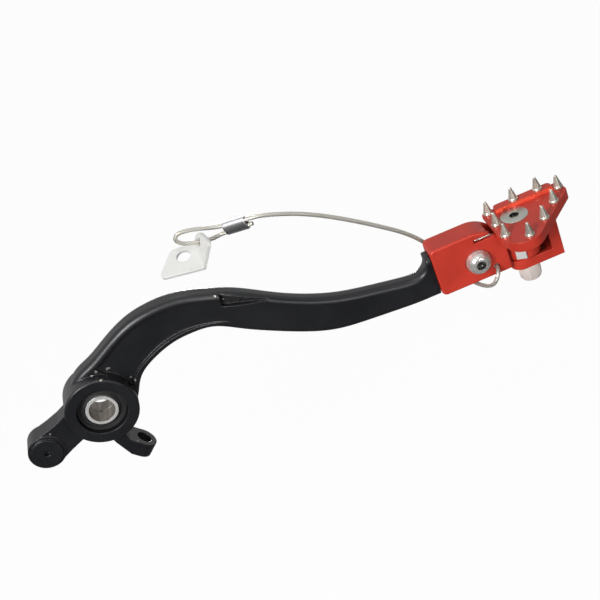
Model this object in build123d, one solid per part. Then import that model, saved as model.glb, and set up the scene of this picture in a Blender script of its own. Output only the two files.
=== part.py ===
from build123d import *
import math
import os

# Rear brake pedal, millimetres. Origin in the middle of the pivot bore.
# X points forward to the toe tip, Y runs along the pivot towards the machine, Z points up.

# Pivot boss
boss_r = 17.1
boss_half = 8.0
boss_edge = 0.7
recess_r = 11.7
recess_deep = 4.0
bush_r = 7.5
pin_r = 6.0
bush_front = -6.5
bush_back = 9.5
bush_seam = 2.0
bush_gap = 0.8
press_gap = 0.02
seal_gap = 0.15
seal_thick = 1.8

# Arm stations from the boss to the toe block: top x, top z, low x, low z, middle y, thickness
# They are drawn for the reach below and move along with the toe block's seat
arm_reach = 163.8
stations = [
    (-9.0, 14.2, 12.0, -5.0, 2.0, 10.0),
    (3.2, 22.0, 19.4, 0.5, 2.0, 10.0),
    (15.0, 28.6, 24.8, 7.4, 2.0, 10.0),
    (27.3, 34.3, 32.4, 11.8, 2.0, 10.0),
    (39.8, 36.5, 42.4, 15.2, 2.0, 10.0),
    (52.8, 36.0, 53.0, 16.3, 1.5, 10.0),
    (65.6, 33.4, 63.2, 15.9, -1.0, 9.6),
    (76.6, 30.3, 73.2, 11.2, -3.8, 8.8),
    (88.6, 23.3, 83.8, 5.0, -4.8, 8.2),
    (103.5, 14.3, 101.8, -4.6, -5.0, 8.0),
    (118.2, 7.9, 115.4, -9.3, -5.0, 8.0),
    (133.3, 4.1, 130.4, -11.2, -5.0, 8.0),
    (148.6, 1.1, 147.0, -12.6, -5.0, 8.0),
]
arm_end_top = 0.6
arm_end_low = -13.0
arm_end_y = -5.0
arm_end_thick = 8.0
arm_edge = 2.8
channel_rim = 3.2
channel_deep = [1.9, 1.9, 1.9, 1.9, 1.3, 0.6, 0.02]
scoop_corners = [(70.2, 32.0), (69.4, 26.0), (91.5, 20.6)]
scoop_front = -7.2
scoop_floor = [3.0, 3.0, -1.4]
scoop_mouth = 6.0

# Rear lever with the pushrod eye
eye_x = -32.3
eye_z = -11.2
eye_r = 8.8
eye_front = -4.0
eye_back = 6.0
eye_step = 0.4
eye_disc_r = 7.3
eye_disc_out = 1.0
eye_mark_r = 1.4
eye_mark_deep = 2.2
rod_tap_r = 2.5
rod_tap_deep = 7.5
lever_outline = [(-34.8, -2.9), (-27.2, -0.8), (-21.0, 1.4), (-14.0, 5.0), (-6.0, 5.0), (-6.0, -12.0),
                 (-15.0, -12.6), (-21.5, -15.4), (-26.5, -17.9), (-30.5, -19.6)]

# Return spring ear
ear_x = 6.95
ear_z = -31.9
ear_lean = 43.0
ear_thick = 7.0
ear_y = 3.25
ear_half = 6.25
ear_hole_r = 3.6
ear_over = 1.0
ear_flat = (-4.2, -8.0)
ear_outside = [(-4.5, -14.0), (-2.2, -21.9), (0.4, -28.4)]
ear_inside = [(3.6, -20.0), (6.0, -14.0)]

# Toe block, measured from the fold bolt
fold_x = 184.1
fold_z = -3.0
block_left = -20.1
block_right = 14.4
block_top = 14.4
block_low = -10.7
block_front = -10.0
block_back = 2.0
block_corner = 2.6
block_edge = 0.9
seat_gap = 0.2
cheek = 2.5
slot_r = 10.3
slot_top = 11.9
slot_back = 3.0

# Tenon joint between the arm and the toe block
shoulder_thick = 2.2
shoulder_top = 8.0
shoulder_blend = 7.2
shoulder_proud = 0.6
shoulder_low = 0.25
flare_deg = (0, 28, 50, 68, 82)
shoulder_root = 1.0
tenon_long = 8.0
tenon_low = -8.0
tenon_top = 6.0
tenon_thick = 5.8
tenon_gap = 0.1
fix_z = (-5.0, 3.0)
fix_x = 4.0
fix_r = 2.0
fix_head_r = 3.9
fix_gap = 0.1
fix_key = 2.5

# Fold hinge hardware
m6_r = 3.0
m6_key = 4.0
bolt_key_deep = 3.0
csk_key_deep = 2.6
bolt_gap = 0.15
head_r = 5.9
head_high = 5.0
head_rim = 1.5
head_dome_ratios = [(1.0, 0.0), (0.93, 0.15), (0.84, 0.5), (0.68, 0.82), (0.5, 1.0)]
head_sink = 0.3
head_gap = 0.25
sleeve_r = 4.0
hub_r = 6.9
turn_gap = 0.05
hub_play = 0.2
web_thick = 3.1
hex_flat = 10.0
lock_high = 6.0
plate_lock_high = 7.4
lock_ring = 1.5
lock_ring_r = 4.7
fold_nut_deg = 10.0
plate_nut_deg = 14.0
washer_r = 6.0
washer_thick = 1.2
thread_out = 1.2

# Fold spring with one leg in the front cheek and one in the frame's web
wire_r = 0.6
coil_r = 7.9
coil_from_deg = 108.0
coil_to_deg = 708.0
leg_z = 10.3
leg_from = 0.6
leg_to = 9.0
leg_deep = 1.2
leg_gap = 0.4
leg_pocket = 3.0
leg_run = [(0.0, 0.0, 0.0), (4.0, 0.0, 0.0), (6.8, 0.0, 0.0), (8.6, 0.7, 0.25)]
coil_steps = 30

# Toe frame and step plate, measured from the fold bolt
plate_top = 11.9
plate_thick = 4.7
flange_top = -9.5
flange_thick = 4.6
flange_corner = 5.6
rib_thick = 3.0
rib_gap = 0.3
frame_left = 14.8
neck_left = 9.9
neck_gap = 0.2
neck_root = 4.0
web_tops = [(3.0, 6.0), (7.4, 2.5)]
web_right = -2.6
web_low = -4.2
wall_left = 34.4
wall_right = 39.4
sweep_gap = 0.5
screw_a = 22.9
screw_y = -4.2
csk_r = 6.65
csk_gap = 0.1
plate_back = 7.6
plate_rounds = [(21.4, -19.9, 9.0), (15.8, -16.5, 4.8), (47.1, -0.2, 3.0), (46.4, 4.6, 3.0),
                (13.5, 4.6, 3.0)]
rim_left = 16.7
rim_right = 45.0
rim_front = 1.8
rim_high = 1.7
rim_slope = 1.0
rim_root = 1.0
rim_corner = 2.0
collar_r = 7.6
collar_foot_r = 6.2
collar_foot = 1.4
set_r = 1.7
set_square = 4.8
set_head = 1.4
set_gap = 0.1
set_deg = 244.0
set_z = -4.9
set_out = 0.5

# Studs: place forward of the fold bolt, place along the pivot, whether on the raised rim
studs = [(13.6, 5.0, 0), (26.6, 5.2, 1), (38.6, 5.2, 1), (47.5, 2.6, 0), (41.4, -7.3, 0),
         (33.0, -16.8, 0), (22.9, -24.8, 0), (13.9, -17.6, 0), (13.5, -6.4, 0)]
stud_r = 2.3
stud_tip_r = 0.7
stud_high = 6.8
stud_root_r = 1.3
stud_root = 1.8
stud_rim = 0.9
stud_step_r = 1.93
stud_step = 1.5
stud_round = 0.4

# Safety cable: route points and the corners that fold tighter than the free run
cable_r = 1.0
cable_hole_r = 1.5
cable_ease_ratio = 0.45
cable_points = [
    (98.2, 12.0, 48.1), (81.0, 12.0, 50.77), (75.4, 12.0, 49.0), (61.9, 12.0, 53.4), (62.3, 12.0, 58.6),
    (70.0, 12.0, 58.0), (80.0, 12.0, 53.99), (102.5, 12.0, 50.46), (121.0, 10.1, 43.4), (143.0, 8.2, 28.8),
    (166.3, 6.2, 10.0), (177.0, 6.2, -18.0), (185.6, -14.0, -17.7), (191.6, -14.2, -9.5),
    (191.6, 6.2, -9.5), (179.4, 6.2, -16.2), (173.0, 6.2, 0.5),
]
cable_folds = {3: 2.4, 4: 2.3, 10: 18.0, 11: 4.4, 12: 4.0, 13: 3.6, 14: 3.2, 15: 2.6}
crimp_long = 11.4
crimp_gap = 0.1
crimp_wall = 0.9
far_crimp_x = 89.2
near_crimp_z = -6.1

# Cable tab
tab_at = (67.0, 2.9, 41.2)
tab_thick = 1.5
tab_tilt = 19.3
tab_lean = 62.0
tab_hole_r = 3.3
tab_leaf = [(2.2, 0.0), (-18.7, 4.2), (-9.6, 17.6), (2.2, 16.7)]
tab_leaf_round = (2.0, 4.0)
tab_out = 2.2
tab_ear = [(0.0, 0.4), (15.5, 1.2), (9.5, 13.5), (5.0, 16.5), (0.0, 16.5)]
tab_ear_round = 2.2
tab_eye_r = 2.0
tab_eye_at = (5.4, 11.6)
tab_hole_at = (-4.9, 11.4)


def put(name, shape):
    shape.label = name
    export_step(shape, "parts/" + name + ".step")
    solids = shape.solids()
    print(name, len(solids), round(sum(s.volume for s in solids), 1))


def rod(r, start, end):
    start = Vector(*start)
    line = Vector(*end) - start
    return extrude(Plane(origin=start, z_dir=line) * Circle(r), amount=line.length)


def rod_y(r, x, z, y0, y1):
    return rod(r, (x, y0, z), (x, y1, z))


def ring_y(r_out, r_in, x, z, y0, y1):
    return rod_y(r_out, x, z, y0, y1) - rod_y(r_in, x, z, y0, y1)


def box(x0, x1, y0, y1, z0, z1):
    return Pos((x0 + x1) / 2, (y0 + y1) / 2, (z0 + z1) / 2) * Box(x1 - x0, y1 - y0, z1 - z0)


def side_plane(x, y, z):
    return Plane(origin=(x, y, z), x_dir=(1, 0, 0), z_dir=(0, -1, 0))


def slab(points, y0, y1):
    face = side_plane(0, y0, 0) * make_face(Polyline(*points, close=True))
    return extrude(face, amount=y0 - y1)


def sunk_cone(r_big, r_small, at, way):
    plane = Plane(origin=at, z_dir=way)
    return loft([plane * Circle(r_big), plane.offset(r_big - r_small) * Circle(r_small)])


def key_socket(flats, at, way, deep):
    face = Plane(origin=at, z_dir=way) * RegularPolygon(flats / 2, 6, major_radius=False)
    return extrude(face, amount=deep)


def lock_nut(at, way, turn, high):
    plane = Plane(origin=at, z_dir=way) * Rot(0, 0, turn)
    nut = extrude(plane * RegularPolygon(hex_flat / 2, 6, major_radius=False), amount=high - lock_ring)
    nut += extrude(plane * Circle(lock_ring_r), amount=high)
    return nut - extrude(plane * Circle(m6_r), amount=high)


# Arm

def station_face(station, inset, y, thick, edge):
    top_x, top_z, low_x, low_z = station[:4]
    dx = top_x - low_x
    dz = top_z - low_z
    middle = ((top_x + low_x) / 2, y, (top_z + low_z) / 2)
    plane = Plane(origin=middle, x_dir=(dx, 0, dz), z_dir=(dz, 0, -dx))
    high = math.hypot(dx, dz) - 2 * inset
    return plane * (RectangleRounded(high, thick, edge) if edge else Rectangle(high, thick))


def end_station(x, top):
    return x, top, x, arm_end_low, arm_end_y, arm_end_thick


def drawn(x):
    return x * seat_x() / arm_reach


def arm_rows():
    rows = []
    for top_x, top_z, low_x, low_z, y, thick in stations:
        rows.append((drawn(top_x), top_z, drawn(low_x), low_z, y, thick))
    return rows


def flare_rows():
    left = seat_x() - shoulder_thick - shoulder_blend
    rows = []
    for degrees in flare_deg:
        turn = math.radians(degrees)
        rows.append(end_station(left + shoulder_blend * math.sin(turn),
                                arm_end_top + shoulder_blend * (1 - math.cos(turn))))
    return rows + [end_station(left + shoulder_blend + shoulder_root, arm_end_top + shoulder_blend)]


def arm_bar():
    return loft([station_face(row, 0, row[4], row[5], arm_edge) for row in arm_rows() + flare_rows()])


def channel_cut():
    faces = []
    for station, deep in zip(arm_rows()[1:], channel_deep):
        front = station[4] - station[5] / 2
        faces.append(station_face(station, channel_rim, front, 2 * deep, 0))
    return loft(faces)


def scoop_cut():
    outer = Wire.make_polygon([Vector(drawn(x), scoop_front - scoop_mouth, z) for x, z in scoop_corners])
    floor = [Vector(drawn(x), scoop_front + deep, z) for (x, z), deep in zip(scoop_corners, scoop_floor)]
    inner = Wire.make_polygon(floor)
    return Solid.make_loft([outer, inner], True)


def spring_ear():
    lean = math.radians(ear_lean)
    plane = Plane(origin=(ear_x, ear_y, ear_z), x_dir=(math.sin(lean), 0, -math.cos(lean)),
                  z_dir=(math.cos(lean), 0, math.sin(lean)))
    half = ear_thick / 2
    tip = ear_half + ear_over
    reach = 3 * ear_half
    flats = [(ear_flat[0], -half), (tip, -half), (tip, half), (ear_flat[1], half)]
    flats = [plane.from_local_coords((along, 0, over)) for along, over in flats]
    outline = ear_outside + [(p.X, p.Z) for p in flats] + ear_inside
    end = extrude(plane * Circle(ear_half), amount=reach, both=True)
    root = plane * Pos(-reach, 0, 0) * Box(2 * reach, 2 * ear_half, 2 * reach)
    ear = slab(outline, ear_y - ear_half, ear_y + ear_half) & (end + root)
    return ear - extrude(plane * Circle(ear_hole_r), amount=reach, both=True)


def rear_lever():
    lever = rod_y(eye_r, eye_x, eye_z, eye_front, eye_back)
    lever += slab(lever_outline, eye_front + eye_step, eye_back - eye_step)
    face = eye_front - eye_disc_out
    lever += rod_y(eye_disc_r, eye_x, eye_z, face, eye_front)
    lever -= rod_y(eye_mark_r, eye_x, eye_z, face, face + eye_mark_deep)
    return lever - rod_y(rod_tap_r, eye_x, eye_z, eye_back - rod_tap_deep, eye_back)


def block_middle():
    return (block_front + block_back) / 2


def seat_x():
    return fold_x + block_left - seat_gap


def shoulder():
    right = seat_x()
    left = right - shoulder_thick
    middle = block_middle()
    half = arm_end_thick / 2 + shoulder_proud
    low = arm_end_low - shoulder_low
    plate = box(left, right, middle - half, middle + half, low, shoulder_top)
    plate = fillet(plate.edges().filter_by(Axis.X), arm_edge)
    cheek_y = tenon_thick / 2
    tenon = box(left, right + tenon_long, middle - cheek_y, middle + cheek_y, tenon_low, tenon_top)
    for z in fix_z:
        tenon -= rod_y(fix_r, right + fix_x, z, middle - tenon_thick, middle + tenon_thick)
    return plate + tenon


def pedal_arm():
    boss = rod_y(boss_r, 0, 0, -boss_half, boss_half)
    boss = chamfer(boss.edges().filter_by(GeomType.CIRCLE), boss_edge)
    arm = boss + (arm_bar() - channel_cut() - scoop_cut())
    arm += rear_lever()
    arm += spring_ear()
    arm += shoulder()
    arm -= rod_y(bush_r + press_gap, 0, 0, -boss_half, boss_half)
    for side in (-1, 1):
        arm -= rod_y(recess_r, 0, 0, side * boss_half, side * (boss_half - recess_deep))
    return arm


def bush(side):
    end = bush_front if side < 0 else bush_back
    return ring_y(bush_r, pin_r, 0, 0, bush_seam + side * bush_gap / 2, end)


def seal(side):
    floor = boss_half - recess_deep
    return ring_y(recess_r - seal_gap, bush_r + seal_gap, 0, 0, side * floor, side * (floor + seal_thick))


# Toe block

def block_outline():
    outline = Pos((block_right + block_left) / 2, (block_top + block_low) / 2) * Rectangle(
        block_right - block_left, block_top - block_low)
    reach = block_top + block_right
    return outline - (Rectangle(reach, reach, align=(Align.MIN, Align.MIN)) - Circle(block_right))


def cheek_inside():
    return block_front + cheek, block_back - cheek


def fix_places():
    return [(seat_x() + fix_x, z) for z in fix_z]


def toe_block():
    face = side_plane(fold_x, block_front, fold_z) * block_outline()
    block = extrude(face, amount=block_front - block_back)
    block = fillet(block.edges().filter_by(Axis.Y).group_by(Axis.X)[0], block_corner)
    block = fillet(block.faces().sort_by(Axis.Y)[0].edges(), block_edge)
    front, back = cheek_inside()
    right = fold_x + block_right
    low = fold_z + block_low
    block -= rod_y(slot_r, fold_x, fold_z, front, back)
    block -= box(fold_x, right, front, back, low, fold_z + slot_top)
    block -= box(fold_x - slot_back, right, front, back, low, fold_z)
    block -= rod_y(m6_r + bolt_gap, fold_x, fold_z, block_front, block_back)
    block -= rod_y(head_r + head_gap, fold_x, fold_z, block_front, block_front + head_sink)
    half = wire_r + leg_gap
    middle = fold_z + leg_z
    block -= box(fold_x + leg_from, right, block_front, front, middle - half, middle + half)
    block -= box(fold_x - slot_back, fold_x + leg_from, block_front + leg_deep - wire_r / 2, front,
                 middle - leg_pocket, middle + half)
    hole_x, _, hole_z = cable_points[13]
    block -= rod_y(cable_hole_r, hole_x, hole_z, block_front, block_back)
    gap = tenon_thick / 2 + tenon_gap
    end = seat_x() + tenon_long + tenon_gap
    block -= box(fold_x + block_left, end, block_middle() - gap, block_middle() + gap,
                 tenon_low - tenon_gap, tenon_top + tenon_gap)
    for x, z in fix_places():
        block -= rod_y(fix_r + fix_gap, x, z, block_middle(), block_back)
        block -= sunk_cone(fix_head_r + fix_gap, fix_r, (x, block_back, z), (0, -1, 0))
    return block


def block_screws():
    screws = []
    for x, z in fix_places():
        screw = rod_y(fix_r - press_gap, x, z, block_middle() - tenon_thick / 2, block_back - fix_r / 2)
        screw += sunk_cone(fix_head_r, fix_r - press_gap, (x, block_back, z), (0, -1, 0))
        screws.append(screw - key_socket(fix_key, (x, block_back, z), (0, -1, 0), fix_r))
    return Compound(children=screws)


# Fold hinge

def fold_bolt():
    seat = block_front + head_sink
    dome = head_high - head_rim
    curve = [(out * head_r, head_rim + up * dome) for out, up in head_dome_ratios]
    profile = make_face(Polyline((0, 0), (head_r, 0), *curve, (0, head_high), close=True))
    plane = Plane(origin=(fold_x, seat, fold_z), x_dir=(1, 0, 0), z_dir=(0, 0, -1))
    head = revolve(plane * profile, axis=Axis((fold_x, seat, fold_z), (0, 1, 0)))
    end = block_back + washer_thick + lock_high + thread_out
    bolt = head + rod_y(m6_r, fold_x, fold_z, seat, end)
    return bolt - key_socket(m6_key, (fold_x, seat - head_high, fold_z), (0, 1, 0), bolt_key_deep)


def fold_sleeve():
    front, back = cheek_inside()
    return ring_y(sleeve_r, m6_r + bolt_gap, fold_x, fold_z, front, back)


def fold_washer():
    return ring_y(washer_r, m6_r + bolt_gap, fold_x, fold_z, block_back, block_back + washer_thick)


def fold_nut():
    return lock_nut((fold_x, block_back + washer_thick, fold_z), (0, 1, 0), fold_nut_deg, lock_high)


def hub_ends():
    front, back = cheek_inside()
    return front + hub_play, back - hub_play


def on_coil(degrees):
    turn = math.radians(degrees)
    return fold_x + coil_r * math.cos(turn), fold_z + coil_r * math.sin(turn)


def spring_points():
    leg_y = block_front + leg_deep
    start = hub_ends()[0] + wire_r + turn_gap
    end = hub_ends()[1] - web_thick - wire_r - turn_gap
    points = [(fold_x + leg_to - along, leg_y + y, fold_z + leg_z - drop) for along, y, drop in leg_run]
    for i in range(coil_steps + 1):
        share = i / coil_steps
        x, z = on_coil(coil_from_deg + (coil_to_deg - coil_from_deg) * share)
        points.append((x, start + (end - start) * share, z))
    return points


def fold_spring():
    points = spring_points()
    path = Spline(*points)
    coil = sweep(Plane(origin=path @ 0, z_dir=path % 0) * Circle(wire_r), path=path)
    x, y, z = points[-1]
    return coil + rod_y(wire_r, x, z, y - wire_r, hub_ends()[1] - wire_r)


# Toe frame, step plate and their screw

def toe_frame():
    front, back = hub_ends()
    low = flange_top - flange_thick
    hub = rod_y(hub_r, fold_x, fold_z, front, back)
    neck_right = frame_left - neck_gap
    root = neck_right + neck_root
    web = web_tops + [(neck_right, web_right), (neck_right, flange_top), (root, flange_top),
                      (root, low), (neck_left, low), (neck_left, web_low), (web_tops[0][0], web_low)]
    frame = hub + slab([(fold_x + a, fold_z + b) for a, b in web], back - web_thick, back)
    flange = box(fold_x + frame_left, fold_x + wall_right, block_front, block_back,
                 fold_z + low, fold_z + flange_top)
    flange = fillet(flange.edges().filter_by(Axis.Z).group_by(Axis.X)[0], flange_corner)
    frame += flange
    frame += box(fold_x + wall_left, fold_x + wall_right, block_front, block_back,
                 fold_z + low, fold_z + plate_top - plate_thick)
    rib_left = fold_x + screw_a + collar_r + rib_gap
    frame += box(rib_left, fold_x + wall_left, block_back - rib_thick, block_back,
                 fold_z + low, fold_z + plate_top - plate_thick)
    frame -= rod_y(sleeve_r + turn_gap, fold_x, fold_z, front, back)
    frame -= screw_hole(low, flange_top)
    x, z = on_coil(coil_to_deg)
    return frame - rod_y(wire_r + crimp_gap, x, z, front, back)


def screw_hole(low, top):
    x = fold_x + screw_a
    return rod(m6_r + bolt_gap, (x, screw_y, fold_z + low), (x, screw_y, fold_z + top))


def plate_outline():
    rounds = [Pos(a, y) * Circle(r) for a, y, r in plate_rounds]
    return make_hull([edge for disc in rounds for edge in disc.edges()])


def step_plate():
    under = fold_z + plate_top - plate_thick
    top = fold_z + plate_top
    plate = extrude(Plane(origin=(fold_x, 0, under)) * plate_outline(), amount=plate_thick)
    rim = box(fold_x + rim_left, fold_x + rim_right, rim_front, plate_back, top - rim_root, top + rim_high)
    rim = fillet(rim.edges().filter_by(Axis.Z).group_by(Axis.Y)[-1], rim_corner)
    plate += chamfer(rim.faces().sort_by(Axis.Z)[-1].edges().sort_by(Axis.Y)[0], rim_slope)
    plate -= rod_y(block_right + sweep_gap, fold_x, fold_z, block_front - sweep_gap, plate_back)
    x = fold_x + screw_a
    plate -= screw_hole(plate_top - plate_thick, plate_top)
    plate -= sunk_cone(csk_r + csk_gap, m6_r, (x, screw_y, top), (0, 0, -1))
    plate -= rod(csk_r + csk_gap, (x, screw_y, top), (x, screw_y, top + rim_high))
    for a, y, high in studs:
        seat = top + high * rim_high
        plate -= rod(stud_root_r + press_gap, (fold_x + a, y, seat - stud_root), (fold_x + a, y, seat))
    return plate


def cleat_studs():
    root = [(0, -stud_root), (stud_root_r, -stud_root), (stud_root_r, 0)]
    spike = [(stud_r, 0), (stud_r, stud_rim), (stud_step_r, stud_step)]
    tip = [(stud_tip_r, stud_high - stud_round), (0, stud_high)]
    profile = make_face(Polyline(*root, *spike, *tip, close=True))
    stud = revolve(Plane.XZ * profile, axis=Axis.Z)
    places = [Pos(fold_x + a, y, fold_z + plate_top + high * rim_high) for a, y, high in studs]
    return Compound(children=[place * stud for place in places])


def plate_screw():
    x = fold_x + screw_a
    top = fold_z + plate_top
    end = fold_z + flange_top - flange_thick - washer_thick - plate_lock_high - thread_out
    screw = rod(m6_r, (x, screw_y, end), (x, screw_y, top - (csk_r - m6_r) / 2))
    screw += sunk_cone(csk_r, m6_r, (x, screw_y, top), (0, 0, -1))
    return screw - key_socket(m6_key, (x, screw_y, top), (0, 0, -1), csk_key_deep)


def plate_washer():
    x = fold_x + screw_a
    top = fold_z + flange_top - flange_thick
    washer = rod(washer_r, (x, screw_y, top - washer_thick), (x, screw_y, top))
    return washer - screw_hole(flange_top - flange_thick - washer_thick, flange_top)


def plate_nut():
    under = fold_z + flange_top - flange_thick - washer_thick
    return lock_nut((fold_x + screw_a, screw_y, under), (0, 0, -1), plate_nut_deg, plate_lock_high)


def set_line():
    turn = math.radians(set_deg)
    way = Vector(math.cos(turn), math.sin(turn), 0)
    middle = Vector(fold_x + screw_a, screw_y, fold_z + set_z)
    return middle + way * (m6_r + bolt_gap), middle + way * (collar_r + set_out), way


def set_head_block(gap):
    _, end, way = set_line()
    face = Plane(origin=end, x_dir=(0, 0, 1), z_dir=way * -1)
    return extrude(face * Rectangle(set_square + 2 * gap, set_square + 2 * gap), amount=set_head)


def plate_collar():
    low = flange_top
    top = plate_top - plate_thick
    x = fold_x + screw_a
    collar = rod(collar_r, (x, screw_y, fold_z + low + collar_foot), (x, screw_y, fold_z + top))
    collar += rod(collar_foot_r, (x, screw_y, fold_z + low), (x, screw_y, fold_z + top))
    collar -= screw_hole(low, top)
    start, end, _ = set_line()
    return collar - rod(set_r + press_gap, start, end) - set_head_block(set_gap)


def set_screw():
    start, end, _ = set_line()
    return rod(set_r, start, end) + set_head_block(0)


# Safety cable and its fittings

def cable_radii():
    radii = []
    for i in range(1, len(cable_points) - 1):
        before, here, after = (Vector(*p) for p in cable_points[i - 1:i + 2])
        turn = math.radians((here - before).get_angle(after - here))
        shorter = min((here - before).length, (after - here).length)
        radii.append(cable_folds.get(i, cable_ease_ratio * shorter / math.tan(turn / 2)))
    return radii


def safety_cable():
    radii = cable_radii()
    path = FilletPolyline(*cable_points, radius=radii)
    rope = sweep(Plane(origin=path @ 0, z_dir=path % 0) * Circle(cable_r), path=path)
    share = rope.volume / (math.pi * cable_r ** 2 * path.length)
    print("cable radii", [round(r, 1) for r in radii])
    print("cable length", round(path.length, 1), "volume share", round(share, 3))
    return rope


def crimp(run, other, axis, place):
    start, end, side_start, side_end = (Vector(*cable_points[i]) for i in (*run, *other))
    line = (end - start).normalized()
    share = (place - (start.X, start.Y, start.Z)[axis]) / (line.X, line.Y, line.Z)[axis]
    here = start + line * share
    over = side_start - here
    across = over - line * over.dot(line)
    plane = Plane(origin=here + across * 0.5, x_dir=across, z_dir=line)
    shell = SlotCenterToCenter(across.length, 2 * (cable_r + crimp_gap + crimp_wall))
    body = extrude(plane * shell, amount=crimp_long / 2, both=True)
    body -= rod(cable_r + crimp_gap, start - line * crimp_long, end + line * crimp_long)
    return body - rod(cable_r + crimp_gap, side_start, side_end)


def cable_tab():
    tilt = math.radians(tab_tilt)
    base = Plane(origin=tab_at, x_dir=(1, 0, 0), z_dir=(0, -math.sin(tilt), math.cos(tilt)))
    leaf = make_face(Polyline(*tab_leaf, close=True))
    leaf = fillet(leaf.vertices().group_by(Axis.X)[0], tab_leaf_round[0])
    leaf = fillet(leaf.vertices().group_by(Axis.Y)[-1], tab_leaf_round[1])
    leaf -= Pos(*tab_hole_at) * Circle(tab_hole_r)
    ear = make_face(Polyline(*tab_ear, close=True))
    ear = fillet(ear.vertices().group_by(Axis.X)[-1] + ear.vertices().group_by(Axis.X)[-2], tab_ear_round)
    ear -= Pos(*tab_eye_at) * Circle(tab_eye_r)
    low = tab_ear[0][1]
    high = tab_ear[-1][1]
    half = tab_thick / 2
    bend = Pos(tab_out, (low + high) / 2, half) * Rot(90, 0, 0) * Cylinder(half, high - low)
    rise = Pos(tab_out, 0, half) * Rot(0, -tab_lean, 0) * Pos(0, 0, -half) * extrude(ear, amount=tab_thick)
    return base * (extrude(leaf, amount=tab_thick) + rise + bend)


os.makedirs("parts", exist_ok=True)
put("pedal_arm", pedal_arm())
put("outer_bush", bush(-1))
put("inner_bush", bush(1))
put("outer_seal", seal(-1))
put("inner_seal", seal(1))
put("toe_block", toe_block())
put("block_screws", block_screws())
put("fold_bolt", fold_bolt())
put("fold_sleeve", fold_sleeve())
put("fold_washer", fold_washer())
put("fold_nut", fold_nut())
put("fold_spring", fold_spring())
put("toe_frame", toe_frame())
put("step_plate", step_plate())
put("cleat_studs", cleat_studs())
put("plate_screw", plate_screw())
put("plate_collar", plate_collar())
put("set_screw", set_screw())
put("plate_washer", plate_washer())
put("plate_nut", plate_nut())
put("safety_cable", safety_cable())
put("far_crimp", crimp((6, 7), (0, 1), 0, far_crimp_x))
put("near_crimp", crimp((10, 11), (15, 16), 2, near_crimp_z))
put("cable_tab", cable_tab())
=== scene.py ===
import math

import bmesh
import bpy
import numpy as np
from mathutils import Matrix, Vector


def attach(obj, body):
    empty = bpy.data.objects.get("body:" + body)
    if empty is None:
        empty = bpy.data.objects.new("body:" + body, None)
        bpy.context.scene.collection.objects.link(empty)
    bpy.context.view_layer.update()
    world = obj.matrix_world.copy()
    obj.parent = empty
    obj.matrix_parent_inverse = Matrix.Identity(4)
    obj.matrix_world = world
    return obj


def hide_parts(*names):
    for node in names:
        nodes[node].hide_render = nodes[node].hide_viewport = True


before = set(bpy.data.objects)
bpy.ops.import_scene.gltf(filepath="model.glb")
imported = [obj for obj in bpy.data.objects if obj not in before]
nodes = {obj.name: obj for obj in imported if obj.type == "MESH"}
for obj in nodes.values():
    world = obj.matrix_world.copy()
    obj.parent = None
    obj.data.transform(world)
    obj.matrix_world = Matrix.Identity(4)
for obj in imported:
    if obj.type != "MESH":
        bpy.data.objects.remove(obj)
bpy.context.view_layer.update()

mm = 0.001
print("frame loaded:", len(nodes), "nodes")


def placed(name, data):  # a new object in the scene
    made = bpy.data.objects.new(name, data)
    bpy.context.scene.collection.objects.link(made)
    return made


# camera, at the photograph's place and roll
cameraFacts = {
    "lens": 77.7314,
    "sensor": 36,
    "near": 0.01,
    "far": 20,
    "place": (0.10125, -0.50119, 0.32194),
    "right": (0.92046, -0.20876, -0.33040),
    "up": (0.39082, 0.48673, 0.78125),
    "back": (-0.00228, -0.84824, 0.52960),
}


def makeCamera(facts):
    data = bpy.data.cameras.new("photoCamera")
    data.lens = facts["lens"]
    data.sensor_width = facts["sensor"]
    data.clip_start = facts["near"]
    data.clip_end = facts["far"]
    camera = placed("photoCamera", data)
    turn = Matrix((facts["right"], facts["up"], facts["back"])).transposed()
    camera.matrix_world = Matrix.Translation(facts["place"]) @ turn.to_4x4()
    bpy.context.scene.camera = camera


makeCamera(cameraFacts)
bpy.context.scene.view_settings.view_transform = "Standard"
print("camera set")


# finishes: a wire is a socket whose arithmetic adds Math nodes
class Wire:
    def __init__(self, tree, socket=None):
        self.tree = tree
        self.socket = socket

    def node(self, kind, settings, sockets, out=0):  # any node: type, settings first, then values or links
        made = self.tree.nodes.new(kind)
        for name, value in settings.items():
            setattr(made, name, value)
        for name, value in sockets.items():
            if isinstance(value, Wire):
                self.tree.links.new(value.socket, made.inputs[name])
            else:
                made.inputs[name].default_value = value
        return Wire(self.tree, made.outputs[out])

    def sum(self, kind, first, second):
        return self.node("ShaderNodeMath", {"operation": kind}, {0: first, 1: second})

    def __add__(self, other):
        return self.sum("ADD", self, other)

    def __radd__(self, other):
        return self.sum("ADD", other, self)

    def __sub__(self, other):
        return self.sum("SUBTRACT", self, other)

    def __rsub__(self, other):
        return self.sum("SUBTRACT", other, self)

    def __mul__(self, other):
        return self.sum("MULTIPLY", self, other)

    def __rmul__(self, other):
        return self.sum("MULTIPLY", other, self)

    def __truediv__(self, other):
        return self.sum("DIVIDE", self, other)

    def __rtruediv__(self, other):
        return self.sum("DIVIDE", other, self)

    def most(self, other):
        return self.sum("MAXIMUM", self, other)

    def single(self, kind):  # a Math node of one value, such as SINE
        return self.node("ShaderNodeMath", {"operation": kind}, {0: self})

    def axis(self, name):  # one number out of a vector
        return self.node("ShaderNodeSeparateXYZ", {}, {"Vector": self}, name)

    def between(self, low, high):  # 0 at low, 1 at high, smooth
        return self.node("ShaderNodeMapRange", {"interpolation_type": "SMOOTHSTEP"},
                         {"Value": self, "From Min": low, "From Max": high})

    def mix(self, first, second):  # this wire picks from the first colour to the second
        return self.node("ShaderNodeMix", {"data_type": "RGBA"}, {0: self, 6: first, 7: second}, 2)


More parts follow.
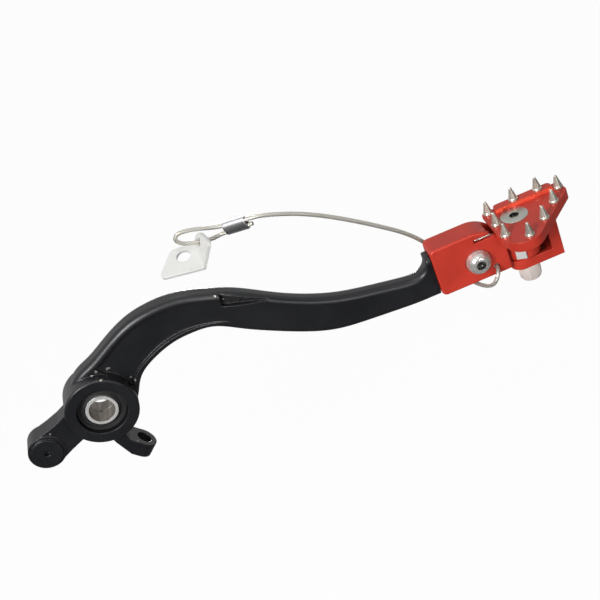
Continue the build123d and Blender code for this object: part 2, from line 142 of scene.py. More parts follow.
class Finish:
    def __init__(self, name, fixed):
        self.material = bpy.data.materials.new(name)
        self.material.use_nodes = True
        self.tree = self.material.node_tree
        self.shader = self.tree.nodes["Principled BSDF"]
        for socket, value in fixed.items():
            self.shader.inputs[socket].default_value = value
        self.wire = Wire(self.tree)
        self.place = self.wire.node("ShaderNodeTexCoord", {}, {}, "Object")

    def feed(self, socket, wire):
        self.tree.links.new(wire.socket, self.shader.inputs[socket])

    def noise(self, place, waves, detail):
        return self.wire.node("ShaderNodeTexNoise", {}, {"Vector": place, "Scale": waves, "Detail": detail})

    def cloud(self, waves, detail=2.0):  # waves per metre
        return self.noise(self.place, waves, detail)

    def streaks(self, waves, detail=2.0):  # a cloud drawn out, with waves per metre in x, y and z
        return self.noise(self.wire.node("ShaderNodeMapping", {}, {"Vector": self.place, "Scale": waves}), 1.0, detail)

    def away(self, place):  # distance from a point given in millimetres
        spot = [v * mm for v in place]
        return self.wire.node("ShaderNodeVectorMath", {"operation": "DISTANCE"}, {0: self.place, 1: spot}, 1)

    def spots(self, balls, fade, cloud, ragged):  # 1 inside any of the balls, fading at an edge that a cloud frays
        every = None
        fray = (cloud - 0.5) * ragged
        for place, radius in balls:
            spot = 1 - (self.away(place) / (radius * mm) + fray).between(*fade)
            every = spot if every is None else every.most(spot)
        return every

    def soften(self, radius):  # edges rounded in the shading
        return self.wire.node("ShaderNodeBevel", {"samples": 6}, {"Radius": radius})

    def edges(self, softNormal, low, high):  # 1 where the rounded normal leaves the face's own
        own = self.wire.node("ShaderNodeNewGeometry", {}, {}, "Normal")
        same = self.wire.node("ShaderNodeVectorMath", {"operation": "DOT_PRODUCT"}, {0: softNormal, 1: own}, 1)
        return (1 - same).between(low, high)

    def bump(self, height, distance, strength, normal=None):
        sockets = {"Height": height, "Distance": distance, "Strength": strength}
        if normal:
            sockets["Normal"] = normal
        self.feed("Normal", self.wire.node("ShaderNodeBump", {}, sockets))


def rgb(*values):
    return (*values, 1)


# black arm: satin powder coat with dust, worn edges and chips, and painted shade in its pockets
armLook = {
    "colour": rgb(0.0058, 0.0062, 0.0080),
    "dusty": rgb(0.0092, 0.0096, 0.0115),
    "edge": rgb(0.022, 0.022, 0.024),
    "bare": rgb(0.46, 0.44, 0.40),
    # the colour of the painted shade in the scoop and beside the boss
    "paintedShade": rgb(0.0018, 0.0018, 0.0020),
    "round": 0.8 * mm,
    "patches": 38,
    "dust": (0.35, 0.75),
    "rim": (0.02, 0.25),  # how far an edge turns before it wears
    "rimPatches": 220,
    "rimWorn": (0.42, 0.62),
    "rough": {"coat": 0.31, "patches": 0.14, "chips": 0.1, "paintedShadeSpots": 0.75},
    "peel": {"waves": 620, "deep": 0.035 * mm, "share": 0.5},  # the powder coat's orange peel
    "chip": {"fade": (0.55, 0.8), "waves": 900, "ragged": 3.6, "metal": 0.9, "deep": 0.4},
    "chips": [  # millimetres, with the chip's radius
        ((5.2, -3.0, 18.1), 0.8), ((10.5, -1.1, 16.1), 0.9), ((6.4, -7.3, 15.8), 0.9), ((19.2, -3.0, 6.0), 0.8),
        ((17.9, -1.0, 7.1), 0.5), ((2.9, -2.9, 16.9), 0.6), ((-26.9, -3.6, -2.6), 0.6), ((6.8, -1.8, -26.6), 0.6),
        ((68.4, -5.7, 31.9), 0.6), ((67.6, -5.9, 30.4), 0.4), ((71.2, -4.5, 28.0), 0.5), ((40.0, -0.9, 28.6), 0.3),
    ],
    # how the painted shade fades and frays at its edge
    "paintedShadeSpots": {"fade": (0.5, 1.1), "ragged": 0.5},
    "paintedShadeBalls": [  # painted shade: the scoop, then beside the boss
        ((72.2, -4.6, 28.2), 3.4), ((76.4, -5.4, 26.4), 2.7), ((80.5, -6.3, 24.6), 1.9), ((84.5, -7.3, 22.9), 1.2),
        ((7.6, -4.2, 15.6), 1.5), ((11.2, -3.6, 13.2), 1.6), ((14.8, -3.4, 10.4), 1.6), ((17.6, -3.4, 7.4), 1.4),
    ],
}


def armBlack(look):
    f = Finish("arm_black_satin", {"IOR": 1.5, "Specular IOR Level": 0.5})
    chip, paintedShadeSpots, rough, peel = (look[name] for name in ("chip", "paintedShadeSpots", "rough", "peel"))
    soft = f.soften(look["round"])
    patches = f.cloud(look["patches"], 4)
    colour = patches.between(*look["dust"]).mix(look["colour"], look["dusty"])
    rim = f.edges(soft, *look["rim"]) * f.cloud(look["rimPatches"], 3).between(*look["rimWorn"])
    colour = rim.mix(colour, look["edge"])
    chipped = f.spots(look["chips"], chip["fade"], f.cloud(chip["waves"], 3), chip["ragged"])
    # painted shade: darker and duller in the scoop and beside the boss
    paintedShadeMask = f.spots(look["paintedShadeBalls"], paintedShadeSpots["fade"], patches, paintedShadeSpots["ragged"])
    f.feed("Base Color", chipped.mix(paintedShadeMask.mix(colour, look["paintedShade"]), look["bare"]))
    f.feed("Metallic", chipped * chip["metal"])
    f.feed("Roughness", (rough["coat"] + rough["patches"] * patches + rough["chips"] * chipped).most(
        paintedShadeMask * rough["paintedShadeSpots"]))
    f.bump(f.cloud(peel["waves"]) - chip["deep"] * chipped, peel["deep"], peel["share"], soft)
    return f.material


# red block, frame, plate and collar: anodised over cutter marks, with painted shade in the pocket behind the collar
# and a painted highlight on the step's polished slope
redLook = {
    "colour": rgb(0.585, 0.041, 0.021),
    "deep": rgb(0.50, 0.033, 0.018),
    "edge": rgb(0.74, 0.13, 0.09),
    # the colour of the painted shade behind the collar
    "paintedShadeRed": rgb(0.05, 0.006, 0.004),
    "bright": rgb(0.82, 0.075, 0.028),  # painted highlight on the step's slope, which is also polished
    "round": 0.5 * mm,
    "patches": 55,
    "tint": (0.3, 0.7),
    "rim": (0.03, 0.3),
    "rimPatches": 300,
    "rimWorn": (0.35, 0.6),
    "rimShare": 0.5,
    "metal": {"dye": 0.30, "patches": 0.10, "slope": 0.5},
    "rough": {"dye": 0.30, "marks": 0.08, "patches": 0.10, "slope": 0.14},
    "marks": {"waves": (240, 5200, 5200), "deep": 0.01 * mm, "share": 0.45},  # they run along the part
    # how the painted shade behind the collar fades, frays and how much it darkens
    "paintedPocketShade": {"fade": (0.5, 1.1), "ragged": 0.5, "share": 0.9},
    "paintedShadeBalls": [((218.2, -5.2, -9.0), 4.2), ((214.5, -5.5, -12.0), 3.4)],  # millimetres, painted shade behind the collar
    # the step's slope: a painted highlight in its colour, with more metal and less roughness for its polish
    "slope": {"front": 1.5 * mm, "back": 3.0 * mm, "over": 9.2 * mm, "fade": 0.2 * mm, "share": 0.8},
}


def redAlloy(look):
    f = Finish("red_anodised", {"IOR": 1.5})
    marks, paintedPocketShade, band, metal, rough = (look[name] for name in ("marks", "paintedPocketShade", "slope", "metal", "rough"))
    soft = f.soften(look["round"])
    lines = f.streaks(marks["waves"])
    patches = f.cloud(look["patches"], 3)
    colour = patches.between(*look["tint"]).mix(look["deep"], look["colour"])
    rim = f.edges(soft, *look["rim"]) * f.cloud(look["rimPatches"], 3).between(*look["rimWorn"])
    y, z = f.place.axis("Y"), f.place.axis("Z")
    behindFront = y.between(band["front"], band["front"] + band["fade"])
    beforeBack = 1 - y.between(band["back"] - band["fade"], band["back"])
    slope = behindFront * beforeBack * z.between(band["over"], band["over"] + band["fade"])
    # painted shade in the pocket behind the collar
    paintedShadeMask = f.spots(look["paintedShadeBalls"], paintedPocketShade["fade"], patches, paintedPocketShade["ragged"])
    # painted highlight: the step's slope is brightened in colour
    colour = (slope * band["share"]).mix((rim * look["rimShare"]).mix(colour, look["edge"]), look["bright"])
    f.feed("Base Color", (paintedShadeMask * paintedPocketShade["share"]).mix(colour, look["paintedShadeRed"]))
    f.feed("Metallic", (metal["dye"] - metal["patches"] * patches).most(slope * metal["slope"]))
    f.feed("Roughness", rough["dye"] + rough["marks"] * lines + rough["patches"] * patches - rough["slope"] * slope)
    f.bump(lines * (1 - slope), marks["deep"], marks["share"], soft)
    return f.material


# bare metals: a stained colour over fine grain or drawn lines; the hex sockets get painted shade inside balls
metalLooks = {
    "screw": {"name": "screw_zinc", "colour": rgb(0.66, 0.65, 0.62), "stain": rgb(0.42, 0.41, 0.38), "metallic": 0.7,
              "rough": 0.16, "grain": 900, "relief": 0.003 * mm, "sockets": [((184.1, -13.3, -3.0), 3.28)]},
    "nut": {"name": "nut_zinc", "colour": rgb(0.84, 0.74, 0.69), "stain": rgb(0.70, 0.61, 0.57), "metallic": 0.4,
            "rough": 0.26, "grain": 1500, "relief": 0.012 * mm},
    "setScrew": {"name": "set_screw_zinc", "colour": rgb(0.60, 0.60, 0.58), "stain": rgb(0.48, 0.48, 0.46),
                 "metallic": 0.3, "rough": 0.34, "grain": 1500, "relief": 0.010 * mm},
    "csk": {"name": "csk_steel", "colour": rgb(0.47, 0.48, 0.44), "stain": rgb(0.36, 0.365, 0.335), "metallic": 1.0,
            "rough": 0.30, "grain": 1300, "relief": 0.010 * mm, "sockets": [((207.0, -4.2, 8.2), 2.9)]},
    "stud": {"name": "stud_steel", "colour": rgb(0.60, 0.57, 0.50), "stain": rgb(0.34, 0.315, 0.27), "metallic": 0.75,
             "rough": 0.20, "lines": (300, 300, 9000), "relief": 0.014 * mm},
    "spring": {"name": "spring_wire", "colour": rgb(0.66, 0.64, 0.58), "stain": rgb(0.40, 0.38, 0.34), "metallic": 1.0,
               "rough": 0.22, "grain": 1600, "relief": 0.010 * mm},
    "crimp": {"name": "crimp_alloy", "colour": rgb(0.72, 0.73, 0.74), "stain": rgb(0.58, 0.59, 0.60), "metallic": 1.0,
              "rough": 0.20, "grain": 500, "relief": 0.002 * mm},
    "tab": {"name": "tab_zinc", "colour": rgb(0.76, 0.76, 0.74), "stain": rgb(0.70, 0.70, 0.68), "metallic": 0.35,
            "rough": 0.38, "lines": (5200, 400, 5200), "relief": 0.010 * mm},
}
metalShared = {
    "round": 0.3 * mm,
    "stains": 140,
    "stained": (0.45, 0.8),
    "roughStains": 0.12,
    "roughGrain": 0.10,
    "reliefShare": 0.5,
    # painted shade inside the hex sockets
    "socket": {"colour": rgb(0.012, 0.012, 0.011), "fade": (0.77, 0.82), "ragged": 0.02, "share": 0.88},
}


def bareMetal(look, shared):
    f = Finish(look["name"], {"Metallic": look["metallic"]})
    soft = f.soften(shared["round"])
    stains = f.cloud(shared["stains"], 4)
    fine = f.streaks(look["lines"]) if "lines" in look else f.cloud(look["grain"])
    shown = stains.between(*shared["stained"]).mix(look["colour"], look["stain"])
    if "sockets" in look:
        # painted shade inside the sockets
        socket = shared["socket"]
        paintedSocketShade = f.spots(look["sockets"], socket["fade"], fine, socket["ragged"]) * socket["share"]
        shown = paintedSocketShade.mix(shown, socket["colour"])
    f.feed("Base Color", shown)
    f.feed("Roughness", look["rough"] + shared["roughStains"] * stains + shared["roughGrain"] * fine)
    f.bump(fine, look["relief"], shared["reliefShare"], soft)
    return f.material


# bushes: bright steel with a dull lining inside the bore
bushLook = {
    "steel": rgb(0.72, 0.72, 0.70),
    "lining": rgb(0.20, 0.175, 0.15),
    "rubbed": rgb(0.34, 0.31, 0.28),
    "metallic": 0.6,
    "round": 0.3 * mm,
    "liner": (6.05 * mm, 6.18 * mm),  # the lining ends between these radii
    "streaks": (500, 90, 500),
    "worn": (0.35, 0.7),
    "rough": {"steel": 0.26, "liner": 0.22, "grain": 0.06, "waves": 900},
    "pits": {"waves": 700, "deep": 0.004 * mm, "share": 0.4},
}


def bushLiner(look):
    f = Finish("bush_lined_steel", {"Metallic": look["metallic"]})
    rough, pits = look["rough"], look["pits"]
    x, z = f.place.axis("X"), f.place.axis("Z")
    liner = 1 - (x * x + z * z).single("SQRT").between(*look["liner"])
    lining = f.streaks(look["streaks"], 3).between(*look["worn"]).mix(look["lining"], look["rubbed"])
    f.feed("Base Color", liner.mix(look["steel"], lining))
    f.feed("Roughness", rough["steel"] + rough["liner"] * liner + rough["grain"] * f.cloud(rough["waves"]))
    f.bump(f.cloud(pits["waves"]), pits["deep"], pits["share"], f.soften(look["round"]))
    return f.material


# moulded pieces: black rubber seals and the pale nylon of the lock nuts
mouldedLooks = {
    "rubber": {"name": "seal_rubber", "colour": rgb(0.008, 0.008, 0.008), "other": rgb(0.02, 0.02, 0.02),
               "specular": 0.3, "patches": 300, "rough": 0.5, "roughMore": 0.2, "roughWaves": 700,
               "grain": 2200, "grainDeep": 0.02 * mm, "grainShare": 0.5},
    "nylon": {"name": "nut_nylon", "colour": rgb(0.62, 0.64, 0.66), "other": rgb(0.50, 0.53, 0.57),
              "specular": 0.4, "patches": 400, "rough": 0.42, "roughMore": 0.15, "roughWaves": 900,
              "grain": 1500, "grainDeep": 0.01 * mm, "grainShare": 0.4},
}


def moulded(look):
    f = Finish(look["name"], {"Specular IOR Level": look["specular"]})
    f.feed("Base Color", f.cloud(look["patches"], 3).mix(look["colour"], look["other"]))
    f.feed("Roughness", look["rough"] + look["roughMore"] * f.cloud(look["roughWaves"]))
    f.bump(f.cloud(look["grain"]), look["grainDeep"], look["grainShare"])
    return f.material


finishes = {name: bareMetal(look, metalShared) for name, look in metalLooks.items()}
finishes.update({name: moulded(look) for name, look in mouldedLooks.items()})
finishes["arm"] = armBlack(armLook)
finishes["red"] = redAlloy(redLook)
finishes["bush"] = bushLiner(bushLook)
wears = {
    "arm": ["pedal_arm"],
    "red": ["toe_block", "toe_frame", "step_plate", "plate_collar"],
    "screw": ["fold_bolt", "fold_washer", "block_screws", "fold_sleeve"],
    "setScrew": ["set_screw"],
    "nut": ["fold_nut", "plate_washer", "plate_nut"],
    "csk": ["plate_screw"],
    "stud": ["cleat_studs"],
    "spring": ["fold_spring"],
    "crimp": ["far_crimp", "near_crimp"],
    "tab": ["cable_tab"],
    "bush": ["outer_bush", "inner_bush"],
    "rubber": ["outer_seal", "inner_seal"],
}
for finish, names in wears.items():
    for name in names:
        nodes[name].data.materials.clear()
        nodes[name].data.materials.append(finishes[finish])
print("finishes on the carried-over nodes")


# grid surfaces
meshFacts = {
    "weld": 1e-7,
    "sharp": 38,  # degrees between faces that still shade as one
}


def gridMesh(name, grid, closedRows=False, uv=None):  # quads over a grid of points, closed round its columns
    rows, cols = grid.shape[:2]
    i, j = np.meshgrid(np.arange(rows if closedRows else rows - 1), np.arange(cols), indexing="ij")
    down = (i + 1) % rows
    beside = (j + 1) % cols
    quads = np.stack([i * cols + j, i * cols + beside, down * cols + beside, down * cols + j], -1).reshape(-1, 4)
    mesh = bpy.data.meshes.new(name)
    mesh.from_pydata(grid.reshape(-1, 3).tolist(), [], quads.tolist())
    if uv is not None:  # the two steps of the map, along the rows and round the columns
        layer = mesh.uv_layers.new(name="along")
        u = np.stack([i, i, i + 1, i + 1], -1).reshape(-1)
        v = np.stack([j, j + 1, j + 1, j], -1).reshape(-1)
        layer.data.foreach_set("uv", np.stack([uv[0] * u, uv[1] * v], 1).astype(np.float32).ravel())
    shape = bmesh.new()
    shape.from_mesh(mesh)
    bmesh.ops.remove_doubles(shape, verts=shape.verts, dist=meshFacts["weld"])
    bmesh.ops.recalc_face_normals(shape, faces=shape.faces)
    shape.to_mesh(mesh)
    shape.free()
    mesh.polygons.foreach_set("use_smooth", np.ones(len(mesh.polygons), bool))
    mesh.set_sharp_from_angle(angle=math.radians(meshFacts["sharp"]))
    mesh.update()
    return placed(name, mesh)


def roundTurn(count):  # angles of one turn, the last short of the first
    return np.linspace(0, 2 * np.pi, count, endpoint=False)


def dressed(piece, finish, body, slot, *replaced):
    piece.data.materials.append(finishes[finish])
    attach(piece, body)
    if replaced:
        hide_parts(*replaced)
    return piece


# safety cable: six strands laid round a core, along the route's smooth line
cableFacts = {
    "thick": 2.0 * mm,
    "strands": 6,
    "around": 48,
    "groove": 0.20,
    "lay": 12.0 * mm,  # one turn of a strand
    "length": 0.2655,
    "smooth": 24,
    "step": 0.45 * mm,
    "route": [  # millimetres, from the ferrule behind the block, through its corner and on to the tab
        (173.0, 6.2, 0.5), (179.4, 6.2, -16.2), (191.6, 6.2, -9.5), (191.6, -4.0, -9.5), (191.6, -14.2, -9.5),
        (185.6, -14.0, -17.7), (177.0, 6.2, -18.0), (166.3, 6.2, 10.0), (142.8, 5.8, 30.18), (120.8, 5.2, 46.07),
        (102.48, 5.2, 54.06), (95.3, 6.52, 54.51), (82.78, 12.57, 52.76), (70.0, 12.0, 58.0), (62.3, 12.0, 58.6),
        (61.9, 12.0, 53.4), (75.4, 12.0, 49.0), (83.69, 12.46, 49.86), (97.0, 6.03, 51.73),
    ],
}
cableLook = {
    "steel": rgb(0.70, 0.68, 0.62),
    "stain": rgb(0.50, 0.48, 0.42),
    # painted shade in the grooves between the strands
    "groove": rgb(0.11, 0.10, 0.09),
    "metallic": 0.75,
    "stains": 90,
    "grooveFade": (0.05, 0.5),
    "rough": {"steel": 0.30, "stains": 0.2, "groove": 0.15},
    "wires": {"around": 14, "lay": 0.32, "deep": 0.04 * mm, "share": 0.5},  # the fine wires of a strand
}


def routeLine(facts):  # the NURBS line through the route's control points, read back as points
    data = bpy.data.curves.new("cableRoute", "CURVE")
    data.dimensions = "3D"
    data.resolution_u = facts["smooth"]
    spline = data.splines.new("NURBS")
    spline.points.add(len(facts["route"]) - 1)
    for point, place in zip(spline.points, facts["route"]):
        point.co = (*(v * mm for v in place), 1)
    spline.order_u = 3
    spline.use_endpoint_u = True
    route = placed("cableRoute", data)
    bpy.context.view_layer.update()
    mesh = bpy.data.meshes.new_from_object(route)
    line = np.array([v.co for v in mesh.vertices])
    bpy.data.objects.remove(route)
    bpy.data.meshes.remove(mesh)
    return line


def evenly(line, step):  # the same line at even steps along it
    gone = np.r_[0, np.cumsum(np.linalg.norm(np.diff(line, axis=0), axis=1))]
    count = int(round(gone[-1] / step)) + 1
    at = np.linspace(0, gone[-1], count)
    return np.stack([np.interp(at, gone, line[:, k]) for k in range(3)], 1), at


def carriedFrame(line):  # two normals at each point, carried along without twist
    ahead = np.gradient(line, axis=0)
    ahead /= np.linalg.norm(ahead, axis=1)[:, None]
    side = np.zeros_like(line)
    now = np.cross(ahead[0], (0.0, 1.0, 0.0))
    for k, way in enumerate(ahead):
        now = now - way * (now @ way)
        now = now / np.linalg.norm(now)
        side[k] = now
    return side, np.cross(ahead, side)


def strandedCable(facts):
    # radius = half the thickness, less a groove where the lobed wave |cos| of the strands' turn dips
    line, gone = evenly(routeLine(facts), facts["step"])
    side, over = carriedFrame(line)
    turn = roundTurn(facts["around"])
    phase = facts["strands"] / 2 * (turn[None, :] - 2 * np.pi * gone[:, None] / facts["lay"])
    radius = facts["thick"] / 2 * (1 - facts["groove"] * (1 - np.abs(np.cos(phase))))
    radius[[0, -1]] = 0  # the ends close
    ring = np.cos(turn)[None, :, None] * side[:, None, :] + np.sin(turn)[None, :, None] * over[:, None, :]
    grid = line[:, None, :] + radius[:, :, None] * ring
    piece = gridMesh("cableStrands", grid, False, (gone[1] - gone[0], 1 / facts["around"]))
    return piece, line


def cableSteel(look, facts):
    f = Finish("cable_strands", {"Metallic": look["metallic"]})
    rough, wires = look["rough"], look["wires"]
    uv = f.wire.node("ShaderNodeUVMap", {"uv_map": "along"}, {})
    u, v = uv.axis("X"), uv.axis("Y")
    strand = (v - u / facts["lay"]) * (math.pi * facts["strands"])
    # painted shade: darker in the grooves between the strands
    groove = 1 - strand.single("COSINE").single("ABSOLUTE").between(*look["grooveFade"])
    fine = ((v * wires["around"] + u / (wires["lay"] * facts["lay"])) * (2 * math.pi)).single("SINE")
    stains = f.cloud(look["stains"], 3)
    f.feed("Base Color", groove.mix(stains.mix(look["steel"], look["stain"]), look["groove"]))
    f.feed("Roughness", rough["steel"] + rough["stains"] * stains + rough["groove"] * groove)
    f.bump(fine, wires["deep"], wires["share"])
    return f.material


# pressed ferrules that hold the cable's two loops, in millimetres
ferruleFacts = {
    "long": 11.4,
    "wall": 0.9,
    "bore": 1.1,
    "lip": 0.12,  # how much the ends round off
    "lipFrom": 0.93,  # and where that begins, as a share of the half length
    "waist": 6,  # how sharply one bore turns into the other
    "around": 64,
    "outside": 61,
    "inside": (1.0, 0.9, 0.0, -0.9, -1.0),
    "farFerrule": {"node": "far_crimp", "middle": (89.27, 9.6, 52.16), "apart": 3.0,
                   "along": (0.8934, -0.4318, 0.1258), "across": (0.157, 0.036, -0.987)},
    "nearFerrule": {"node": "near_crimp", "middle": (173.8, 6.2, -5.58), "apart": 2.89,
                    "along": (0.357, 0.0, -0.934), "across": (0.934, 0.0, 0.357)},
}


def ferrule(name, facts):
    # an oval round two bores side by side, carried along the sleeve to a rounded lip at each end, and back inside
    own = facts[name]
    along, across = (np.array(own[k]) / np.linalg.norm(own[k]) for k in ("along", "across"))
    out = np.cross(along, across)
    outer = np.linspace(-1, 1, facts["outside"])
    inner = np.array(facts["inside"])
    lip = np.clip((np.abs(outer) - facts["lipFrom"]) / (1 - facts["lipFrom"]), 0, 1) ** 2
    size = np.r_[(facts["bore"] + facts["wall"]) * (1 - facts["lip"] * lip), np.full(len(inner), facts["bore"])]
    at = np.r_[outer, inner] * facts["long"] / 2
    turn = roundTurn(facts["around"])
    within = np.r_[np.zeros(len(outer)), np.ones(len(inner))][:, None]
    reach = np.cos(turn) + within * (np.tanh(facts["waist"] * np.cos(turn)) - np.cos(turn))
    sideways = own["apart"] / 2 * reach + size[:, None] * np.cos(turn)
    outwards = size[:, None] * np.sin(turn)
    grid = (np.array(own["middle"]) + at[:, None, None] * along + sideways[..., None] * across
            + outwards[..., None] * out)
    return dressed(gridMesh(name, grid * mm, True), "crimp", "pedal", "crimp_alloy", own["node"])


cable, cableLine = strandedCable(cableFacts)
finishes["cable"] = cableSteel(cableLook, cableFacts)
dressed(cable, "cable", "pedal", "cable_steel", "safety_cable")
farFerrule = ferrule("farFerrule", ferruleFacts)
nearFerrule = ferrule("nearFerrule", ferruleFacts)
print("cable laid")


# turned hardware, in millimetres: rows of (height along the axis, radius, across flats or 0)
threadFacts = {
    "radius": 3.0,
    "pitch": 1.0,
    "deep": 0.5,
    "step": 0.125,  # between rows
    "lead": 0.1,
    "tip": 0.4,
}


def turned(name, facts, around=96):
    # each row is a circle, cut by the hexagon where the row has flats; a thread lowers the radius by a climbing wave
    rows = np.array(facts["rows"], float)
    turn = roundTurn(around)
    flat = 1 / np.cos((turn + facts["start"]) % (np.pi / 3) - np.pi / 6)
    radius = np.repeat(rows[:, 1:2], around, 1)
    hexed = rows[:, 2] > 0
    radius[hexed] = np.minimum(radius[hexed], rows[hexed, 2:3] / 2 * flat)
    height = np.repeat(rows[:, :1], around, 1)
    if "thread" in facts:
        begin, end = facts["thread"]
        wave = np.abs(((height / threadFacts["pitch"] - turn / (2 * np.pi)) % 1) - 0.5) * 2
        radius -= threadFacts["deep"] * wave * ((height > begin) & (height < end))
    axis = np.array(facts["axis"], float)
    side = np.cross(axis, (1.0, 0.0, 0.0))
    over = np.cross(axis, side)
    ring = np.cos(turn)[:, None] * side + np.sin(turn)[:, None] * over
    grid = np.array(facts["at"]) + height[..., None] * axis + radius[..., None] * ring
    return gridMesh(name, grid * mm, facts.get("closed", False))


def socketRows(deep):  # a hexagon socket, from its floor up to a small chamfer
    return [(deep, 0.0, 0), (deep, 3.0, 4.0), (0.1, 3.0, 4.0), (0.0, 2.36, 0)]


def threadRows(begin, end):  # close rows along a thread, then a chamfered tip
    lead, tip = threadFacts["lead"], end + threadFacts["tip"]
    rows = [(h, threadFacts["radius"], 0) for h in np.arange(begin - lead, end - lead, threadFacts["step"])]
    return rows + [(end, 2.9, 0), (tip, 2.45, 0), (tip, 0.0, 0)]


def nutRows(high, flats=10.0, lockRing=1.5):  # a hexagon with bevelled corners, and the round lock ring over it
    collar = high - lockRing
    return [(0.0, 3.0, 0), (0.0, 4.7, flats), (0.12, 5.0, flats), (0.5, 5.8, flats), (collar - 0.5, 5.8, flats),
            (collar - 0.1, 5.05, flats), (collar, 4.8, 0), (collar + 0.15, 4.62, 0), (high - 0.45, 4.6, 0),
            (high - 0.12, 4.42, 0), (high, 4.1, 0), (high, 3.95, 0), (high - 0.35, 3.9, 0), (high - 0.35, 3.0, 0)]


rise = np.linspace(0, np.pi / 2, 14)
domeRows = np.c_[3.1 - 3.1 * np.cos(rise) ** 1.35, 2.6 + 2.95 * np.sin(rise), 0 * rise].tolist()  # button head
hardware = {
    "foldBolt": {"node": "fold_bolt", "finish": "screw", "body": "pedal", "at": (184.1, -14.7, -3.0),
                 "axis": (0, 1, 0), "start": 0.3, "thread": (20.0, 24.7),
                 "rows": socketRows(3.0) + domeRows
                 + [(3.4, 5.78, 0), (3.7, 5.9, 0), (4.75, 5.9, 0), (5.0, 5.7, 0), (5.0, 3.0, 0)]
                 + threadRows(20.0, 24.7)},
    "plateScrew": {"node": "plate_screw", "finish": "csk", "body": "toe", "at": (207.0, -4.2, 8.9),
                   "axis": (0, 0, -1), "start": 0.15, "thread": (26.0, 35.4),
                   "rows": socketRows(2.6)
                   + [(0.0, 2.5, 0), (0.0, 6.35, 0), (0.1, 6.55, 0), (0.25, 6.4, 0), (3.65, 3.0, 0)]
                   + threadRows(26.0, 35.4)},
    "foldNut": {"node": "fold_nut", "finish": "nut", "body": "pedal", "at": (184.1, 3.2, -3.0),
                "axis": (0, 1, 0), "start": 0.7, "closed": True, "rows": nutRows(6.0)},
    "plateNut": {"node": "plate_nut", "finish": "nut", "body": "toe", "at": (207.0, -4.2, -18.3),
                 "axis": (0, 0, -1), "start": 0.76, "closed": True, "rows": nutRows(7.4)},
}
for name, facts in hardware.items():
    dressed(turned(name, facts), facts["finish"], facts["body"], "screw_steel", facts["node"])

insertRows = [(0.0, 3.02, 0), (0.0, 3.88, 0), (0.2, 3.88, 0), (0.3, 3.75, 0), (0.34, 3.4, 0), (0.28, 3.1, 0),
              (0.15, 3.02, 0)]
inserts = {  # nylon rings in the lock nuts
    "foldInsert": {"body": "pedal", "at": (184.1, 8.86, -3.0), "axis": (0, 1, 0)},
    "plateInsert": {"body": "toe", "at": (207.0, -4.2, -25.36), "axis": (0, 0, -1)},
}
for name, facts in inserts.items():
    ring = turned(name, {**facts, "rows": insertRows, "start": 0.0, "closed": True}, 64)
    dressed(ring, "nylon", facts["body"], "screw_steel")

sealRows = [(0.0, 11.5, 0), (1.35, 11.5, 0), (1.62, 11.38, 0), (1.75, 11.1, 0), (1.78, 10.7, 0), (1.66, 10.3, 0),
            (1.25, 10.05, 0), (0.85, 9.8, 0), (0.72, 9.4, 0), (0.8, 9.0, 0), (1.1, 8.7, 0), (1.5, 8.35, 0),
            (1.72, 8.0, 0), (1.7, 7.8, 0), (1.45, 7.68, 0), (0.7, 7.75, 0), (0.0, 8.1, 0)]
seals = {  # two lips with a groove between them
    "outerSealLip": {"node": "outer_seal", "at": (0, -4.0, 0), "axis": (0, -1, 0)},
    "innerSealLip": {"node": "inner_seal", "at": (0, 4.0, 0), "axis": (0, 1, 0)},
}
for name, facts in seals.items():
    lip = turned(name, {**facts, "rows": sealRows, "start": 0.0, "closed": True}, 128)
    dressed(lip, "rubber", "pedal", "seal_rubber", facts["node"])
print("hardware and seals turned")


# floor, light and white background
stageFacts = {
    "floorZ": -0.16,
    "floorWide": 6.0,
    "pale": rgb(0.66, 0.66, 0.66),
    "white": rgb(1, 1, 1),
    "shadowShare": 0.035,  # how much of the floor's own shading the camera sees
    "ambient": 0.095,  # the room's light on the object
    "dim": 0.07,  # what mirrors see towards the viewer's side of the room
    "bright": 0.72,  # and towards the backdrop
    "floorFade": (-0.12, 0.8),  # metres in y, from dim to bright
    "roomFade": (-0.35, 0.75),
    "roomLean": {"y": 0.8, "z": 0.9},  # how much back and up count
    "seen": 0.01,  # a floor that shows more than this to a ray is white to it
    "lamps": [  # name, place, aim, size, watts
        ("keySoftbox", (-0.55, -0.85, 0.62), (0.10, 0.0, 0.0), 0.40, 16.0),
        ("fillSoftbox", (0.45, -1.00, 0.24), (0.12, 0.0, 0.0), 0.4, 3.0),
        ("topSoftbox", (0.05, 0.50, 0.95), (0.10, 0.0, 0.0), 0.6, 0.5),
        ("rimSoftbox", (0.165, -0.53, 0.87), (0.215, 0.0, 0.01), 0.18, 1.2),
        ("backSoftbox", (0.10, 1.75, -0.09), (0.10, 0.0, 0.0), 0.12, 9.0),
    ],
}


def shownWhite(tree, behind, facts):  # 1 to camera and glass rays, dim to bright to mirror rays, 0 to the rest
    wire = Wire(tree)
    camera, mirror, glass = [wire.node("ShaderNodeLightPath", {}, {}, name)
                             for name in ("Is Camera Ray", "Is Glossy Ray", "Is Transmission Ray")]
    mirrored = facts["dim"] + (facts["bright"] - facts["dim"]) * behind
    return camera.most(glass).most(mirror * mirrored), mirror


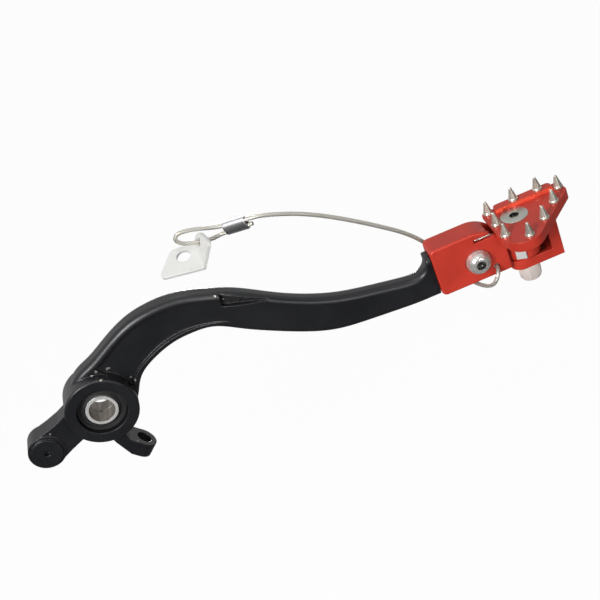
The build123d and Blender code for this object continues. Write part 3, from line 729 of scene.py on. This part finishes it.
def output(tree, kind, shader):
    tree.links.new(shader.socket, tree.nodes.new(kind).inputs["Surface"])


def paleFloor(facts):
    half = facts["floorWide"] / 2
    corners = [(-half, -half), (half, -half), (half, half), (-half, half)]
    mesh = bpy.data.meshes.new("floor")
    mesh.from_pydata([(x, y, facts["floorZ"]) for x, y in corners], [], [(0, 1, 2, 3)])
    floor = placed("floor", mesh)
    material = bpy.data.materials.new("pale_floor")
    material.use_nodes = True
    tree = material.node_tree
    tree.nodes.clear()
    wire = Wire(tree)
    behind = wire.node("ShaderNodeTexCoord", {}, {}, "Object").axis("Y").between(*facts["floorFade"])
    shown = shownWhite(tree, behind, facts)[0]
    pale = wire.node("ShaderNodeBsdfDiffuse", {}, {"Color": facts["pale"]})
    white = wire.node("ShaderNodeEmission", {}, {"Color": facts["white"], "Strength": shown})
    lit = 1 - shown.between(0, facts["seen"]) * (1 - facts["shadowShare"])
    output(tree, "ShaderNodeOutputMaterial", wire.node("ShaderNodeMixShader", {}, {0: lit, 1: white, 2: pale}))
    mesh.materials.append(material)


def softboxes(lamps):
    for name, place, aim, size, watts in lamps:
        data = bpy.data.lights.new(name, "AREA")
        data.shape = "SQUARE"
        data.size = size
        data.energy = watts
        lamp = placed(name, data)
        lamp.location = place
        lamp.rotation_euler = (Vector(aim) - Vector(place)).to_track_quat("-Z", "Y").to_euler()


def whiteRoom(facts):
    world = bpy.data.worlds.new("studio")
    bpy.context.scene.world = world
    world.use_nodes = True
    tree = world.node_tree
    tree.nodes.clear()
    wire = Wire(tree)
    way = wire.node("ShaderNodeTexCoord", {}, {}, "Generated")
    lean = facts["roomLean"]
    behind = (way.axis("Y") * lean["y"] + way.axis("Z") * lean["z"]).between(*facts["roomFade"])
    shown, mirror = shownWhite(tree, behind, facts)
    strength = shown.most((1 - mirror) * facts["ambient"])
    room = wire.node("ShaderNodeBackground", {}, {"Color": facts["white"], "Strength": strength})
    output(tree, "ShaderNodeOutputWorld", room)


paleFloor(stageFacts)
softboxes(stageFacts["lamps"])
whiteRoom(stageFacts)
print("stage lit")
